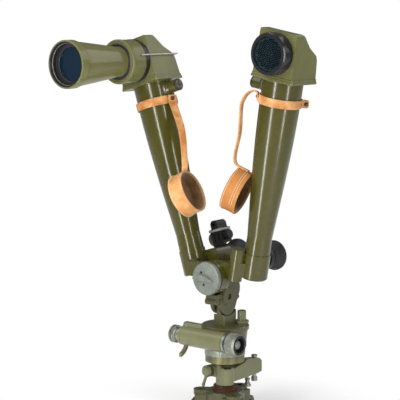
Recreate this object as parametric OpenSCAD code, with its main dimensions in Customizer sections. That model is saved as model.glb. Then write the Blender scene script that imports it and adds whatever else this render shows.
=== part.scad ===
// Periscopic (scissors) binoculars on an azimuth and elevation mount with a tripod head.
// Millimetres, +Z up, objectives toward -Y, eyepieces toward +Y, +X to the user's right.
// The origin is the centre of the tripod head's under face, on the azimuth axis.

/* [Arms] */
// Height of the arm hinge above the tripod head's under face
hinge_z = 230; // [224:1:240]
// Lean of the left arm from upright
left_spread = 17.5; // [4:0.5:40]
// Lean of the right arm from upright
right_spread = 10; // [4:0.5:40]
// Distance from the hinge to each tube's axis
tube_x = 55; // [54:1:60]
// Height of the eyepiece axis above the hinge, along the arm
low_axis = 27; // [26:1:30]
// Distance from eyepiece axis to objective axis
periscope_h = 335; // [320:5:360]

/* [Optics] */
// Clear diameter of each objective
objective_d = 50; // [48:1:52]
// Outside diameter of the black objective cell
cell_d = 63; // [62:1:64]
// Offset of each eyepiece axis from the hinge
eye_x = 30; // [29:1:31]
// Rear face of the eyecups behind the hinge
eye_rear = 84; // [82:1:88]
// Front of the left front lens tube, ahead of the hinge
front_reach = 185; // [175:1:195]

/* [Heads] */
// Width of each prism head at its base plate
head_w = 74; // [72:1:76]
// Width of each prism head at its top
head_top_w = 67; // [65:1:70]
// Depth of each prism head, front to back
head_d = 60; // [58:1:62]
// Height of each prism head above its base plate
head_h = 74; // [72:1:76]

/* [Mount] */
// Height of the elevation pivot
pivot_z = 197; // [195:1:198]
// Radius of the tilting cheek's upper end
cheek_r = 21.3; // [20:0.1:21.5]
// Height of the azimuth worm's axis
worm_z = 133; // [132:1:134]
// Distance of the worm's axis ahead of the azimuth axis
worm_y = 42; // [41:1:43]
// Outside diameter of the worm housing
worm_d = 31; // [30:1:32]
// Outside diameter of the azimuth scale
scale_d = 64; // [62:1:65]
// Number of divisions on the azimuth scale
scale_marks = 64; // [32:8:64]
// Number of teeth on the azimuth worm wheel
wheel_teeth = 72; // [72:12:72]
// Height of the tripod head
head_z = 45; // [40:1:46]

/* [Leather] */
// Width of the leather bands and straps
band_w = 13; // [11:0.5:14]
// Thickness of the leather
leather_t = 2.6; // [2:0.1:3]
// Outside diameter of each lens cap
cap_d = 69; // [68.5:0.5:70]
// Depth of each lens cap
cap_h = 25; // [22:1:27]

/* [Hidden] */
$fn = 64;
wall = 3;
low_r = 21;
housing_foot = low_axis - 16;
tube_foot = low_axis + 24;
wheel_r = 31;
wheel_top = 138;
pivot_y = -4.5;
pin_r = 5;
flange_z = 92.5;
scale_z = 104;
bracket_x = 17;
bracket_y = -15.5;
bolt_r = 7;
worm_r = 12.5;
head_foot = low_axis + 295;
object_z = low_axis + periscope_h;
band_z = low_axis + 263;
screw_z = low_axis + 281;
cell_len = 20;
collar_len = 36;
collar_back = head_d / 2 + 3;
collar_front = collar_back + collar_len;
eye_z = low_axis + 2;
box_back = 44;
leg_angles = [90, 210, 330];
olive = [0.36, 0.36, 0.2];
pale_olive = [0.47, 0.49, 0.36];
black = [0.07, 0.07, 0.08];
silver = [0.72, 0.74, 0.7];
brass = [0.7, 0.6, 0.3];
glass = [0.15, 0.22, 0.4];
leather = [0.8, 0.5, 0.28];

// Turned and laid helpers
module cylinder_at(z, r, h) { translate([0, 0, z]) cylinder(r = r, h = h); }
module along_x() { rotate([0, 90, 0]) children(); }
module along_y() { rotate([-90, 0, 0]) children(); }
module right_arm() { translate([0, 0, hinge_z]) rotate([0, right_spread, 0]) children(); }
module left_arm() { mirror([1, 0, 0]) translate([0, 0, hinge_z]) rotate([0, left_spread, 0]) children(); }
module ring(r_out, r_in, h) {
    difference() {
        cylinder(r = r_out, h = h);
        translate([0, 0, -1]) cylinder(r = r_in, h = h + 2);
    }
}
module rounded_rect(w, d, r) {
    square([w - 2 * r, d], center = true);
    square([w, d - 2 * r], center = true);
    for (x = [-1, 1], y = [-1, 1]) translate([x * (w / 2 - r), y * (d / 2 - r)]) circle(r);
}
module slotted_head(r, h, slot_w) {
    difference() {
        union() {
            cylinder(r = r, h = h - 0.8);
            translate([0, 0, h - 0.8]) cylinder(r1 = r, r2 = r - 0.8, h = 0.8);
        }
        translate([0, 0, h]) cube([3 * r, slot_w, h], center = true);
    }
}
module knurled(r, h, count, depth) {
    difference() {
        cylinder(r = r, h = h);
        for (i = [0:count - 1]) rotate(i * 360 / count) translate([r + depth * 0.4, 0, -1])
            cylinder(r = depth, h = h + 2, $fn = 16);
    }
}

// Tripod head: a cast hub with three leg lugs, a spigot socket and a flat under face
module leg_lug() {
    difference() {
        union() {
            for (y = [-15, 8]) {
                translate([20, y, 7]) cube([26, 7, head_z - 13]);
                translate([46, y, 18]) along_y() cylinder(r = 10.8, h = 7);
            }
            translate([20, -12, head_z - 8]) cube([18, 24, 8]);
            translate([38, 0, head_z - 8]) cylinder(r = 12, h = 8);
        }
        translate([38, 0, head_z - 9]) cylinder(r = 5, h = 10);
        translate([46, -20, 18]) along_y() cylinder(r = 4, h = 40);
    }
}
module tripod_head() {
    color(pale_olive) difference() {
        union() {
            translate([0, 0, 6]) cylinder(r = 31, h = head_z - 9);
            translate([0, 0, head_z - 3]) cylinder(r1 = 31, r2 = 28, h = 3);
            cylinder(r = 36, h = 6);
            for (a = leg_angles) rotate(a) leg_lug();
        }
        translate([0, 0, 12]) cylinder(r = 15.05, h = head_z);
        translate([0, 0, -1]) cylinder(r = 8, h = 20);
        for (a = leg_angles) rotate(a + 60) translate([25, 0, -1]) cylinder(r = 3, h = 14);
    }
}
module spigot_collar() {
    color([0.42, 0.17, 0.12]) translate([0, 0, head_z]) rotate_extrude() polygon([
        [14.6, 0], [19, 0], [19, 2.5], [17.2, 4], [17.2, 5.5], [18.6, 7], [17, 9], [14.6, 9]]);
}
module clamp_post() {
    color(pale_olive) difference() {
        union() {
            translate([0, 0, 12]) cylinder(r = 15, h = head_z - 12);
            translate([0, 0, head_z]) cylinder(r = 14.5, h = 41.5);
            translate([-31, -10, head_z + 20]) cube([20, 20, 15]);
            translate([-31, -10, head_z + 27.5]) along_y() cylinder(r = 7.5, h = 20);
        }
        translate([0, 0, head_z - 20]) cylinder(r = 9.05, h = 80);
        translate([-45, -2, head_z + 17]) cube([38, 4, 30]);
        translate([-23, -20, head_z + 29]) along_y() cylinder(r = 4.05, h = 40);
    }
}
module bracket_arm() {
    color(pale_olive) difference() {
        union() {
            translate([bracket_x, bracket_y, 60]) cylinder(r = 10.8, h = 24);
            translate([9, -9, 62]) rotate([90, 0, 90]) linear_extrude(13) polygon([
                [0, 0], [68, 2], [76.5, 3.5], [76.5, 21], [70, 26], [39, 30], [30, 25], [0, 20]]);
        }
        translate([0, 0, 50]) cylinder(r = 14.5, h = 50);
        translate([bracket_x, bracket_y, 68]) cylinder(r = 7.2, h = 20);
        translate([15.5, 56, 50]) cylinder(r = 3.5, h = 50);
        translate([15.5, 38, 50]) cylinder(r = 2.5, h = 20);
    }
}
module bracket_screws() {
    color(silver) {
        translate([15.5, 38, 0]) {
            translate([0, 0, 58]) cylinder(r = 2.45, h = 12);
            translate([0, 0, 53]) cylinder(r1 = 3, r2 = 4.5, h = 5);
            translate([0, 0, 47]) cylinder(r1 = 6.2, r2 = 3, h = 6);
            translate([0, 0, 45.5]) cylinder(r = 6.2, h = 1.5);
        }
        translate([15.5, 56, 0]) {
            translate([0, 0, 57]) cylinder(r = 3.45, h = 33.6);
            translate([0, 0, 51]) cylinder(r = 5, h = 6);
            translate([0, 0, 90.6]) cylinder(r = 5, h = 2.5);
        }
    }
}
module azimuth_base() {
    color(brass) {
        translate([0, 0, head_z - 8]) cylinder(r = 9, h = 60);
        translate([0, 0, flange_z - 4]) cylinder(r1 = 20, r2 = 29, h = 4);
        translate([0, 0, flange_z]) cylinder(r = 31, h = 11.2);
        translate([0, 0, flange_z + 11.2]) cylinder(r = 26.9, h = 16);
        translate([0, 0, 119]) linear_extrude(wheel_top - 119) difference() {
            circle(wheel_r, $fn = 144);
            for (i = [0:wheel_teeth - 1]) rotate(i * 360 / wheel_teeth)
                translate([wheel_r - 2, -0.95]) square([4, 1.9]);
        }
        cylinder_at(wheel_top, 12, 5);
    }
}
module scale_ring() {
    color(silver) translate([0, 0, scale_z]) difference() {
        rotate_extrude() polygon([[27, 0], [scale_d / 2, 0], [scale_d / 2, 11], [scale_d / 2 - 1, 12], [27, 12]]);
        for (i = [0:scale_marks - 1]) rotate(i * 360 / scale_marks)
            translate([scale_d / 2 - 0.6, -0.25, 1.5]) cube([3, 0.5, i % 4 == 0 ? 6.5 : 4]);
    }
}
module clamp_lever() {
    color(pale_olive) translate([-23, 0, head_z + 29]) {
        translate([0, -11, 0]) along_y() cylinder(r = 4, h = 22);
        translate([0, -10.3, 0]) rotate([90, 0, 0]) {
            cylinder(r = 9.5, h = 7);
            translate([0, 0, 7]) cylinder(r1 = 9.5, r2 = 6.5, h = 4);
        }
        translate([0, 10.3, 0]) along_y() cylinder(r = 7.5, h = 5, $fn = 6);
        translate([0, -15, 0]) rotate([0, 20, 0]) translate([0, 0, -25]) {
            cylinder(r = 2.4, h = 19);
            sphere(2.9, $fn = 32);
        }
    }
}

// Azimuth body: turns on the spindle and carries the worm
module azimuth_plate() {
    color(pale_olive) difference() {
        union() {
            cylinder_at(116.3, 34, 10);
            translate([0, 0, 126.3]) cylinder(r1 = 34, r2 = 36, h = 18);
            cylinder_at(144.3, 38, 5.2);
            translate([0, 0, 149.5]) cylinder(r1 = 38, r2 = 36, h = 1.5);
            translate([-22, -36, 118]) cube([40, 16, 26.5]);
        }
        cylinder_at(110, wheel_r + 0.5, wheel_top - 109);
        cylinder_at(wheel_top, 12.05, 5.5);
        translate([-70, -worm_y, worm_z]) along_x() cylinder(r = worm_d / 2, h = 140);
        for (a = [0:60:300]) rotate(a) translate([32.5, 0, 148]) cylinder(r = 2.2, h = 6);
    }
}
module worm_housing() {
    color(pale_olive) difference() {
        union() {
            translate([-45, -worm_y, worm_z]) along_x() cylinder(r = worm_d / 2, h = 80);
            translate([-45, -worm_y - 1, worm_z + 4]) cube([32, 10, 17]);
            translate([-45, -worm_y + 4, worm_z + 13]) along_x() cylinder(r = 8, h = 6);
        }
        cylinder_at(110, wheel_r + 0.5, wheel_top - 109);
        cylinder_at(144.2, 38, 20);
        translate([-70, -worm_y, worm_z]) along_x() cylinder(r = 6.05, h = 140);
        translate([-18, -worm_y, worm_z]) along_x() cylinder(r = worm_r + 0.3, h = 36);
    }
}
module cradle_block() {
    color(pale_olive) difference() {
        union() {
            translate([0, 0, 151]) linear_extrude(24) rounded_rect(22, 30, 1.5);
            translate([-4, 0, 0]) rotate([90, 0, 90]) linear_extrude(8) polygon([
                [-15, 151], [15, 151], [pivot_y + 13, pivot_z], [pivot_y - 13, pivot_z]]);
            translate([-4, pivot_y, pivot_z]) along_x() cylinder(r = 13, h = 8);
        }
        for (x = [4.25, -24.25]) translate([x, pivot_y, pivot_z]) along_x() cylinder(r = 30.5, h = 20);
        translate([-20, pivot_y, pivot_z]) along_x() cylinder(r = pin_r + 0.05, h = 40);
    }
}
module level_case() {
    color(pale_olive) translate([13, 26, 151]) difference() {
        union() {
            translate([3, 0, 0]) cylinder(r = 9, h = 3.5);
            cylinder(r = 10, h = 3.5);
            translate([0, 0, 3.5]) cylinder(r = 7, h = 14);
            translate([0, 0, 17.5]) cylinder(r1 = 7, r2 = 6.4, h = 1.5);
        }
        translate([0, 0, 9]) cylinder(r = 5.2, h = 20);
    }
}
module level_glass() {
    color([0.75, 0.85, 0.5]) translate([13, 26, 160]) {
        cylinder(r = 5.2, h = 8);
        translate([0, 0, 8]) cylinder(r1 = 5.2, r2 = 3.4, h = 1);
    }
}

// Worm drive
module worm_shaft() {
    pitch = 2 * PI * (wheel_r - 1) / wheel_teeth;
    color(silver) translate([0, -worm_y, worm_z]) along_x() {
        translate([0, 0, -64]) cylinder(r = 6, h = 108);
        translate([0, 0, -16]) cylinder(r = worm_r - 3, h = 32);
        for (i = [-5:5]) translate([0, 0, i * pitch]) rotate_extrude() polygon([
            [worm_r - 3.5, -0.55], [worm_r, -0.3], [worm_r, 0.3], [worm_r - 3.5, 0.55]]);
    }
}
module traverse_knob() {
    color(silver) translate([-45.3, -worm_y, worm_z]) rotate([0, -90, 0]) difference() {
        union() {
            cylinder(r = 11, h = 14);
            translate([0, 0, 14]) cylinder(r1 = 11, r2 = 13, h = 1.5);
            translate([0, 0, 15.5]) knurled(14, 9, 30, 1);
            translate([0, 0, 24.5]) cylinder(r1 = 13, r2 = 12, h = 1.5);
        }
        translate([0, 0, -1]) cylinder(r = 6, h = 19.7);
    }
}
module traverse_drum() {
    color(silver) translate([35.3, -worm_y, worm_z]) along_x() {
        difference() {
            union() {
                cylinder(r = 15, h = 5);
                translate([0, 0, 5]) cylinder(r = 13.5, h = 4);
                translate([0, 0, 9]) knurled(17.3, 15, 36, 1);
                translate([0, 0, 24]) cylinder(r1 = 17.3, r2 = 15.8, h = 3);
            }
            translate([0, 0, 14]) cylinder(r = 12.3, h = 20);
            translate([0, 0, -1]) cylinder(r = 6, h = 9.7);
        }
        translate([0, 0, 14]) cylinder(r1 = 9, r2 = 6.5, h = 9);
    }
}
module release_lever() {
    color(pale_olive) translate([-50.5, -worm_y, worm_z]) rotate([90, 0, 90]) linear_extrude(4.5) difference() {
        union() {
            circle(15);
            polygon([[-2, 14], [11, 10], [9, 21], [2, 21]]);
            intersection() {
                translate([-15, -9]) difference() {
                    circle(24.5);
                    circle(18.5);
                }
                translate([-10, -40]) square([30, 32]);
            }
        }
        circle(11.1);
    }
}

// Elevation body: tilts on the pivot and carries the arm hinge
module cheek_outline() {
    top = [3.2, hinge_z - 1.5 - cheek_r];
    foot = [pivot_y, pivot_z - 9.8];
    foot_r = 19.7;
    lean = atan2(foot.y - top.y, foot.x - top.x);
    spread = acos((cheek_r - foot_r) / norm(foot - top));
    translate(top) circle(cheek_r);
    translate(foot) circle(foot_r);
    polygon([for (p = [[top, cheek_r, 1], [foot, foot_r, 1], [foot, foot_r, -1], [top, cheek_r, -1]])
        p[0] + (p[1] - 0.3) * [cos(lean + p[2] * spread), sin(lean + p[2] * spread)]]);
}
module tilt_yoke() {
    color(pale_olive) difference() {
        union() {
            for (x = [-10.5, 4.4]) translate([x, 0, 0]) rotate([90, 0, 90]) linear_extrude(6.1) cheek_outline();
            translate([-4.5, 3.2 - cheek_r, pivot_z + 15]) cube([9, 2 * cheek_r, 10]);
            translate([0, -18.4, hinge_z]) along_y() cylinder(r = 14.5, h = 43);
            translate([-10.5, -18.4, hinge_z - 20]) cube([21, 26, 20]);
            translate([-11, -34, pivot_z - 1]) cube([21, 18, 6.5]);
            translate([-13, -29, pivot_z - 6]) along_x() cylinder(r = 5.5, h = 22);
            translate([-10.5, -26, pivot_z - 9]) cube([17, 12, 9]);
            translate([7, 20, pivot_z - 4]) sphere(4.5, $fn = 32);
            translate([10.4, pivot_y, pivot_z]) along_x() cylinder(r = 14.5, h = 2);
        }
        translate([-20, pivot_y, pivot_z]) along_x() cylinder(r = pin_r + 0.05, h = 40);
        translate([0, -60, hinge_z]) along_y() cylinder(r = bolt_r + 0.05, h = 120);
        translate([0, -60, hinge_z]) along_y() cylinder(r = 26.4, h = 41.5);
        translate([-4.4, pivot_y, pivot_z]) {
            along_x() cylinder(r = 14.6, h = 8.8);
            rotate([90, 0, 90]) linear_extrude(8.8) polygon([[-13.3, 4], [13.3, 4], [26.5, -44], [-26.5, -44]]);
        }
    }
}
module pivot_pin() {
    color(olive) translate([-10.6, pivot_y, pivot_z]) {
        along_x() cylinder(r = pin_r, h = 20.4);
        rotate([0, -90, 0]) slotted_head(6.5, 1.8, 2);
    }
}
module hinge_bolt() {
    color(silver) {
        translate([0, -39.2, hinge_z]) along_y() cylinder(r = bolt_r, h = 65);
        translate([0, 25, hinge_z]) along_y() cylinder(r = 11, h = 6, $fn = 6);
    }
}

module clamp_disc() {
    color(silver) translate([0, -39.3, hinge_z]) rotate([90, 0, 0]) difference() {
        union() {
            cylinder(r = 24, h = 2);
            translate([0, 0, 2]) cylinder(r = 25.8, h = 6.5);
            translate([0, 0, 8.5]) cylinder(r1 = 25.8, r2 = 24, h = 1.5);
            translate([0, 0, 10]) rotate(-8) linear_extrude(3.5) polygon([
                [-12, -5], [2, -4.5], [17, 0], [2, 4.5], [-12, 5]]);
            translate([-24, -3, 5]) rotate([0, -90, 0]) cylinder(r = 1.6, h = 5);
        }
        for (p = [[-8, 9], [-3, -10]]) translate([p.x, p.y, 6]) cylinder(r = 2, h = 10);
    }
}

// Parts that both arms share, drawn in the arm's own frame: hinge at the origin, +X outward
module arm_housing(front) {
    color(olive) difference() {
        union() {
            translate([tube_x, 0, housing_foot + 2]) cylinder(r = low_r, h = tube_foot - housing_foot - 2);
            translate([tube_x, 0, housing_foot]) cylinder(r1 = low_r - 2, r2 = low_r, h = 2);
            translate([0, -front, 0]) rotate([90, 0, 0]) {
                cylinder(r = 26, h = 10);
                linear_extrude(10) polygon([[0, 26], [44, 34], [44, 13], [24.5, 5.5]]);
            }
            translate([tube_x - 20, -front - 10, 13]) linear_extrude(22) polygon([
                [0, 0], [9, 0], [20, front - 6], [20, front + 2], [0, front + 2]]);
        }
        translate([tube_x, 0, housing_foot + wall]) cylinder(r = low_r - wall, h = 60);
        translate([0, -60, 0]) along_y() cylinder(r = bolt_r + 0.05, h = 80);
        translate([tube_x, 0, eye_z]) rotate([0, 0, 45]) along_y() cylinder(r = 10, h = 40);
    }
}
function tube_r(z) = 19.2 + 11.6 * sin(90 * max(0, z - 50) / 235);
module arm_tube() {
    steps = [50:18.07:285];
    outer = [for (z = steps) [tube_r(z), low_axis + z]];
    inner = [for (z = steps) [tube_r(z) - 2.6, low_axis + z]];
    color(olive) translate([tube_x, 0, 0]) rotate_extrude() polygon(concat(
        [[16, tube_foot - 5], [17.95, tube_foot - 5], [17.95, tube_foot], [19.8, tube_foot], [19.8, tube_foot + 3]],
        outer, [[30.8, head_foot - 1.2], [28.2, head_foot - 1.2]],
        [for (i = [len(inner) - 1:-1:0]) inner[i]], [[16, tube_foot + 6]]));
}
module head_side() {
    polygon([
        [-head_d / 2, 0], [-head_d / 2, head_h], [-head_d / 2 + 17, head_h],
        [-head_d / 2 + 21.5, head_h - 3], [-head_d / 2 + 37, head_h - 20],
        [-head_d / 2 + 55, head_h - 32], [head_d / 2 - 2, head_h - 39], [head_d / 2, 0]]);
}
module head_front() {
    r = 3;
    polygon([
        [-head_w / 2, 0], [head_w / 2, 0], [head_top_w / 2, head_h - r], [head_top_w / 2 - r, head_h],
        [-head_top_w / 2 + r, head_h], [-head_top_w / 2, head_h - r]]);
    for (x = [-1, 1]) translate([x * (head_top_w / 2 - r), head_h - r]) circle(r);
}
module arm_head() {
    color(olive) difference() {
        union() {
            intersection() {
                translate([tube_x - head_w / 2, 0, head_foot]) rotate([90, 0, 90]) linear_extrude(head_w) head_side();
                translate([tube_x, head_d / 2, head_foot]) rotate([90, 0, 0]) linear_extrude(head_d) head_front();
            }
            translate([tube_x, 0, head_foot]) linear_extrude(3.5) rounded_rect(head_w + 4, head_d + 4, 3);
            translate([tube_x, 0, head_foot + 3.5]) linear_extrude(3.5) rounded_rect(head_w + 2, head_d + 2, 2);
            translate([tube_x, 0, head_foot - 1.2]) cylinder(r = 33, h = 2);
        }
        translate([tube_x, 0, head_foot - 2]) cylinder(r = 26, h = 20);
        translate([tube_x - 25, 0, head_foot + 15]) rotate([90, 0, 90]) linear_extrude(50)
            polygon([[-25, 0], [-25, 52], [-17, 52], [24, 14], [25, 0]]);
        translate([tube_x, -20, object_z]) rotate([90, 0, 0]) cylinder(r = 26, h = 20);
    }
}
module arm_prisms() {
    color(glass) {
        translate([tube_x - 22, -22, object_z - 24.9]) rotate([90, 0, 90]) linear_extrude(44)
            polygon([[0, 0], [44, 0], [0, 44]]);
        translate([tube_x - 11, -11, housing_foot + wall]) rotate([90, 0, 90]) linear_extrude(22)
            polygon([[0, 0], [22, 0], [22, 22]]);
    }
}
module objective_cell() {
    color(black) translate([tube_x, -head_d / 2, object_z]) rotate([90, 0, 0]) difference() {
        union() {
            cylinder(r = cell_d / 2, h = cell_len - 2);
            translate([0, 0, cell_len - 2]) cylinder(r1 = cell_d / 2, r2 = cell_d / 2 - 1.5, h = 2);
            translate([0, 0, -5]) cylinder(r = 26, h = 5);
        }
        translate([0, 0, -6]) cylinder(r = objective_d / 2, h = 12);
        translate([0, 0, 6]) cylinder(r = objective_d / 2 + 0.5, h = 30);
    }
}
module objective_lens() {
    color(glass) translate([tube_x, -head_d / 2, object_z]) rotate([90, 0, 0]) {
        translate([0, 0, -3]) cylinder(r = objective_d / 2, h = 7);
        translate([0, 0, 4]) cylinder(r1 = objective_d / 2, r2 = objective_d / 2 - 7, h = 1.5);
    }
}
module prism_box() {
    color(olive) difference() {
        translate([31, 26.5, eye_z - 2]) rotate([90, 0, 0])
            linear_extrude(35, center = true) rounded_rect(38, 36, 7);
        translate([tube_x, 0, low_axis - 40]) cylinder(r = low_r, h = 80);
        translate([19, 14, eye_z - 14]) cube([24, 24, 24]);
        translate([eye_x, 30, eye_z]) along_y() cylinder(r = 12, h = 40);
    }
}
module eyepiece() {
    color(olive) translate([eye_x, box_back, eye_z]) along_y() difference() {
        union() {
            cylinder(r = 16, h = 5);
            translate([0, 0, 5]) cylinder(r = 14, h = 23);
            translate([0, 0, -5]) cylinder(r = 12, h = 6);
        }
        translate([0, 0, -6]) cylinder(r = 10.5, h = 60);
    }
}
module eye_lens() {
    color(glass) translate([eye_x, box_back + 19, eye_z]) along_y() {
        cylinder(r = 10.5, h = 6);
        translate([0, 0, 6]) cylinder(r1 = 10.5, r2 = 7, h = 1);
    }
}
module focus_ring() {
    color(black) translate([eye_x, box_back + 5.3, eye_z]) along_y() difference() {
        union() {
            cylinder(r = 16.5, h = 2);
            translate([0, 0, 2]) knurled(18.5, 8, 36, 0.9);
            translate([0, 0, 10]) cylinder(r = 16.5, h = 2);
        }
        translate([0, 0, -1]) cylinder(r = 14.05, h = 30);
    }
}
module eyecup() {
    color(black) translate([eye_x, eye_rear - 21.7, eye_z]) along_y() rotate_extrude() polygon([
        [14.1, 0], [18, 0], [19.5, 2], [19.5, 4], [18.5, 4.6], [20.5, 6.6], [20.5, 8.2], [19.5, 8.8],
        [21.8, 11], [21.8, 12.6], [20.8, 13.2], [23.5, 16], [24, 19], [23.4, 21.2], [21.8, 21.7],
        [20, 20.5], [18.5, 16], [16, 8], [14.1, 5]]);
}
module adjuster() {
    color(olive) translate([0, 0, screw_z]) difference() {
        union() {
            translate([4, 0, 0]) along_x() cylinder(r = 9.5, h = 32);
            translate([18, 0, 0]) along_x() cylinder(r1 = 9.5, r2 = 11, h = 4);
            translate([22, 0, 0]) along_x() cylinder(r = 11, h = 12);
            translate([4, 0, 0]) rotate([0, -90, 0]) slotted_head(8.2, 3, 2.4);
        }
        translate([tube_x, 0, -40]) cylinder(r = 31, h = 80);
    }
}

// Leather bands, straps and caps. The bands sit on the tube, and what they carry hangs plumb.
module hang(spread, turn, r) {
    translate([tube_x - r * cos(turn), -r * sin(turn), band_z]) rotate([0, -spread, 0]) children();
}
module laid(turn) { rotate([0, 0, 180 + turn]) rotate([90, 0, 0]) children(); }
module rivet(turn, reach) {
    rotate([0, 0, 180 + turn]) along_x() {
        translate([0, 0, -reach]) cylinder(r = 2, h = reach + 1.7);
        translate([0, 0, 1.7]) cylinder(r1 = 3.6, r2 = 2.6, h = 1.2);
    }
}
module band() {
    translate([tube_x, 0, band_z - band_w / 2]) difference() {
        union() {
            cylinder(r = 31 + leather_t, h = band_w);
            rotate(40) translate([30, -leather_t, 0.4]) cube([13, 2 * leather_t, band_w - 0.8]);
        }
        translate([0, 0, -1]) cylinder(r = 31, h = band_w + 2);
    }
    translate([tube_x, 0, band_z]) rotate(40) translate([39, -leather_t - 0.8, 0]) along_y()
        cylinder(r = 2, h = 2 * leather_t + 1.6);
}
function heading(p, i) = let (d = p[i + 1] - p[i]) atan2(d.y, d.x);
function side(p, i, t) =
    let (a = heading(p, max(i - 1, 0)), b = heading(p, min(i, len(p) - 2)))
    let (turned = ((b - a + 540) % 360) - 180, mid = a + turned / 2)
    p[i] + t / cos(turned / 2) * [-sin(mid), cos(mid)];
module strap(points, turn) {
    last = len(points) - 1;
    difference() {
        laid(turn) linear_extrude(band_w, center = true) polygon(concat(
            [for (i = [0:last]) side(points, i, leather_t / 2)],
            [for (i = [last:-1:0]) side(points, i, -leather_t / 2)]));
        rotate([0, 0, 180 + turn]) translate([-10, 0, 0]) along_x() cylinder(r = 2.05, h = 20);
    }
}
module lens_cap(mouth, tip, turn) {
    color(leather) translate(mouth) rotate([0, tip, turn]) difference() {
        translate([0, 0, -cap_h]) cylinder(r = cap_d / 2, h = cap_h);
        translate([0, 0, leather_t - cap_h]) cylinder(r = cap_d / 2 - leather_t, h = cap_h);
    }
}
left_drop = [
    [0, 5], [0, -3], [1.5, -6], [6, -10], [18.5, -21], [35, -36], [41, -42.5], [46, -50.6], [50, -59],
    [53, -69.5], [57, -88.6], [57.8, -98], [57.2, -107]];
right_drop = [
    [0, -6], [0, 3.5], [1, 5.8], [3.2, 7.2], [6, 7.9], [9, 7.6], [12.5, 6], [16.5, 3], [20.5, -1.5], [24, -8],
    [25.9, -13], [27.4, -28.7], [28.1, -47.7], [30, -62.8], [35, -83.3], [36.6, -96], [36, -102],
    [33.6, -105], [15.5, -109.9]];

module left_housing() { left_arm() arm_housing(29); }
module left_tube() { left_arm() arm_tube(); }
module left_head() { left_arm() arm_head(); }
module left_prisms() { left_arm() arm_prisms(); }
module left_objective_cell() { left_arm() objective_cell(); }
module left_objective_lens() { left_arm() objective_lens(); }
module left_prism_box() { left_arm() prism_box(); }
module left_eyepiece() { left_arm() eyepiece(); }
module left_eye_lens() { left_arm() eye_lens(); }
module left_focus_ring() { left_arm() focus_ring(); }
module left_eyecup() { left_arm() eyecup(); }
module left_adjuster() { left_arm() adjuster(); }
module left_band() {
    color(leather) left_arm() {
        band();
        hang(left_spread, 8, 38.2) rivet(30, 6.2);
    }
}
module left_cap_strap() { color(leather) left_arm() hang(left_spread, 8, 38.2) strap(left_drop, 30); }
module left_lens_cap() { left_arm() hang(left_spread, 8, 38.2) lens_cap([-64.6, -25.2, -139.6], 63.5, 164.9); }
module front_collar() {
    color(olive) left_arm() translate([tube_x, -collar_back, object_z]) rotate([90, 0, 0]) difference() {
        cylinder(r = 34.5, h = collar_len);
        translate([0, 0, -1]) cylinder(r = cell_d / 2, h = cell_len - 2);
        translate([0, 0, 0]) cylinder(r = 24.5, h = collar_len + 1);
    }
}
module front_tube() {
    reach = front_reach - collar_front;
    color(olive) left_arm() translate([tube_x, -collar_front, object_z]) rotate([90, 0, 0]) rotate_extrude()
        polygon([
            [22, -6], [24.5, -6], [24.5, 8], [35, reach - 17], [37, reach - 14], [37, reach - 1],
            [36, reach], [34.5, reach], [33.5, reach - 14], [30, reach - 15], [30, reach - 24], [22, 8]]);
}
module front_lens() {
    color(glass) left_arm() translate([tube_x, -front_reach + 22, object_z]) rotate([90, 0, 0])
        cylinder(r = 30, h = 6);
}
module wire_bail() {
    side = head_w / 2 + 1.4;
    back = head_d / 2 + 1.5;
    color(silver) left_arm() translate([tube_x, 0, object_z]) {
        for (s = [-1, 1]) {
            translate([s * side, -50, 0]) along_y() cylinder(r = 1.2, h = 50 + back, $fn = 24);
            translate([s * side, -50, 0]) sphere(1.2, $fn = 24);
            translate([s * side, back, 0]) sphere(1.2, $fn = 24);
            translate([s * (side + 34.7) / 2, -50, 0]) along_x()
                cylinder(r = 1.2, h = side - 34.7, center = true, $fn = 24);
        }
        translate([0, back, 0]) along_x() cylinder(r = 1.2, h = 2 * side, center = true, $fn = 24);
    }
}
module lamp_place() { left_arm() translate([eye_x + 6, 56, eye_z + 14]) children(); }
module lamp_body() {
    color(black) {
        lamp_place() difference() {
            union() {
                translate([-11, -11, 2]) cube([22, 22, 25]);
                translate([0, 0, 27]) linear_extrude(4.5) rounded_rect(25, 25, 2);
            }
            for (x = [-4, 4]) translate([x - 1.2, -12, 12]) cube([2.4, 3, 12]);
            translate([-6, -20, -14]) along_y() cylinder(r = 21.6, h = 40);
        }
        left_arm() translate([eye_x, box_back + 0.3, eye_z]) along_y() difference() {
            union() {
                cylinder(r = 20, h = 4.4);
                translate([-3, -26, 0]) cube([14, 10, 4.4]);
            }
            translate([0, 0, -1]) cylinder(r = 16.05, h = 8);
        }
    }
}
module lamp_barrel() {
    color(black) lamp_place() translate([0, -12, 38.5]) along_y() difference() {
        union() {
            cylinder(r = 7, h = 24);
            translate([-7, -2, 0]) cube([14, 9, 24]);
        }
        translate([0, 0, -1]) cylinder(r = 3, h = 8);
    }
}
module lamp_dimmer() { color(pale_olive) lamp_place() translate([11.3, 0, 16]) along_x() knurled(11, 7, 30, 0.8); }
module lamp_switch() { color(black) lamp_place() translate([-11.3, 0, 19]) rotate([0, -90, 0]) knurled(7.5, 8, 20, 0.8); }
module right_housing() {
    right_arm() arm_housing(18.7);
    color(olive) right_arm() difference() {
        translate([35.5, -22, 5]) cylinder(r = 11.3, h = 50);
        translate([tube_x, 0, housing_foot + wall]) cylinder(r = low_r - wall, h = 60);
        translate([tube_x, 0, tube_foot]) cylinder(r = low_r + 0.3, h = 20);
    }
}
module right_tube() { right_arm() arm_tube(); }
module right_head() { right_arm() arm_head(); }
module right_prisms() { right_arm() arm_prisms(); }
module right_objective_cell() { right_arm() objective_cell(); }
module right_objective_lens() { right_arm() objective_lens(); }
module right_prism_box() { right_arm() prism_box(); }
module right_eyepiece() { right_arm() eyepiece(); }
module right_eye_lens() { right_arm() eye_lens(); }
module right_focus_ring() { right_arm() focus_ring(); }
module right_eyecup() { right_arm() eyecup(); }
module right_adjuster() { right_arm() adjuster(); }
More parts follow.
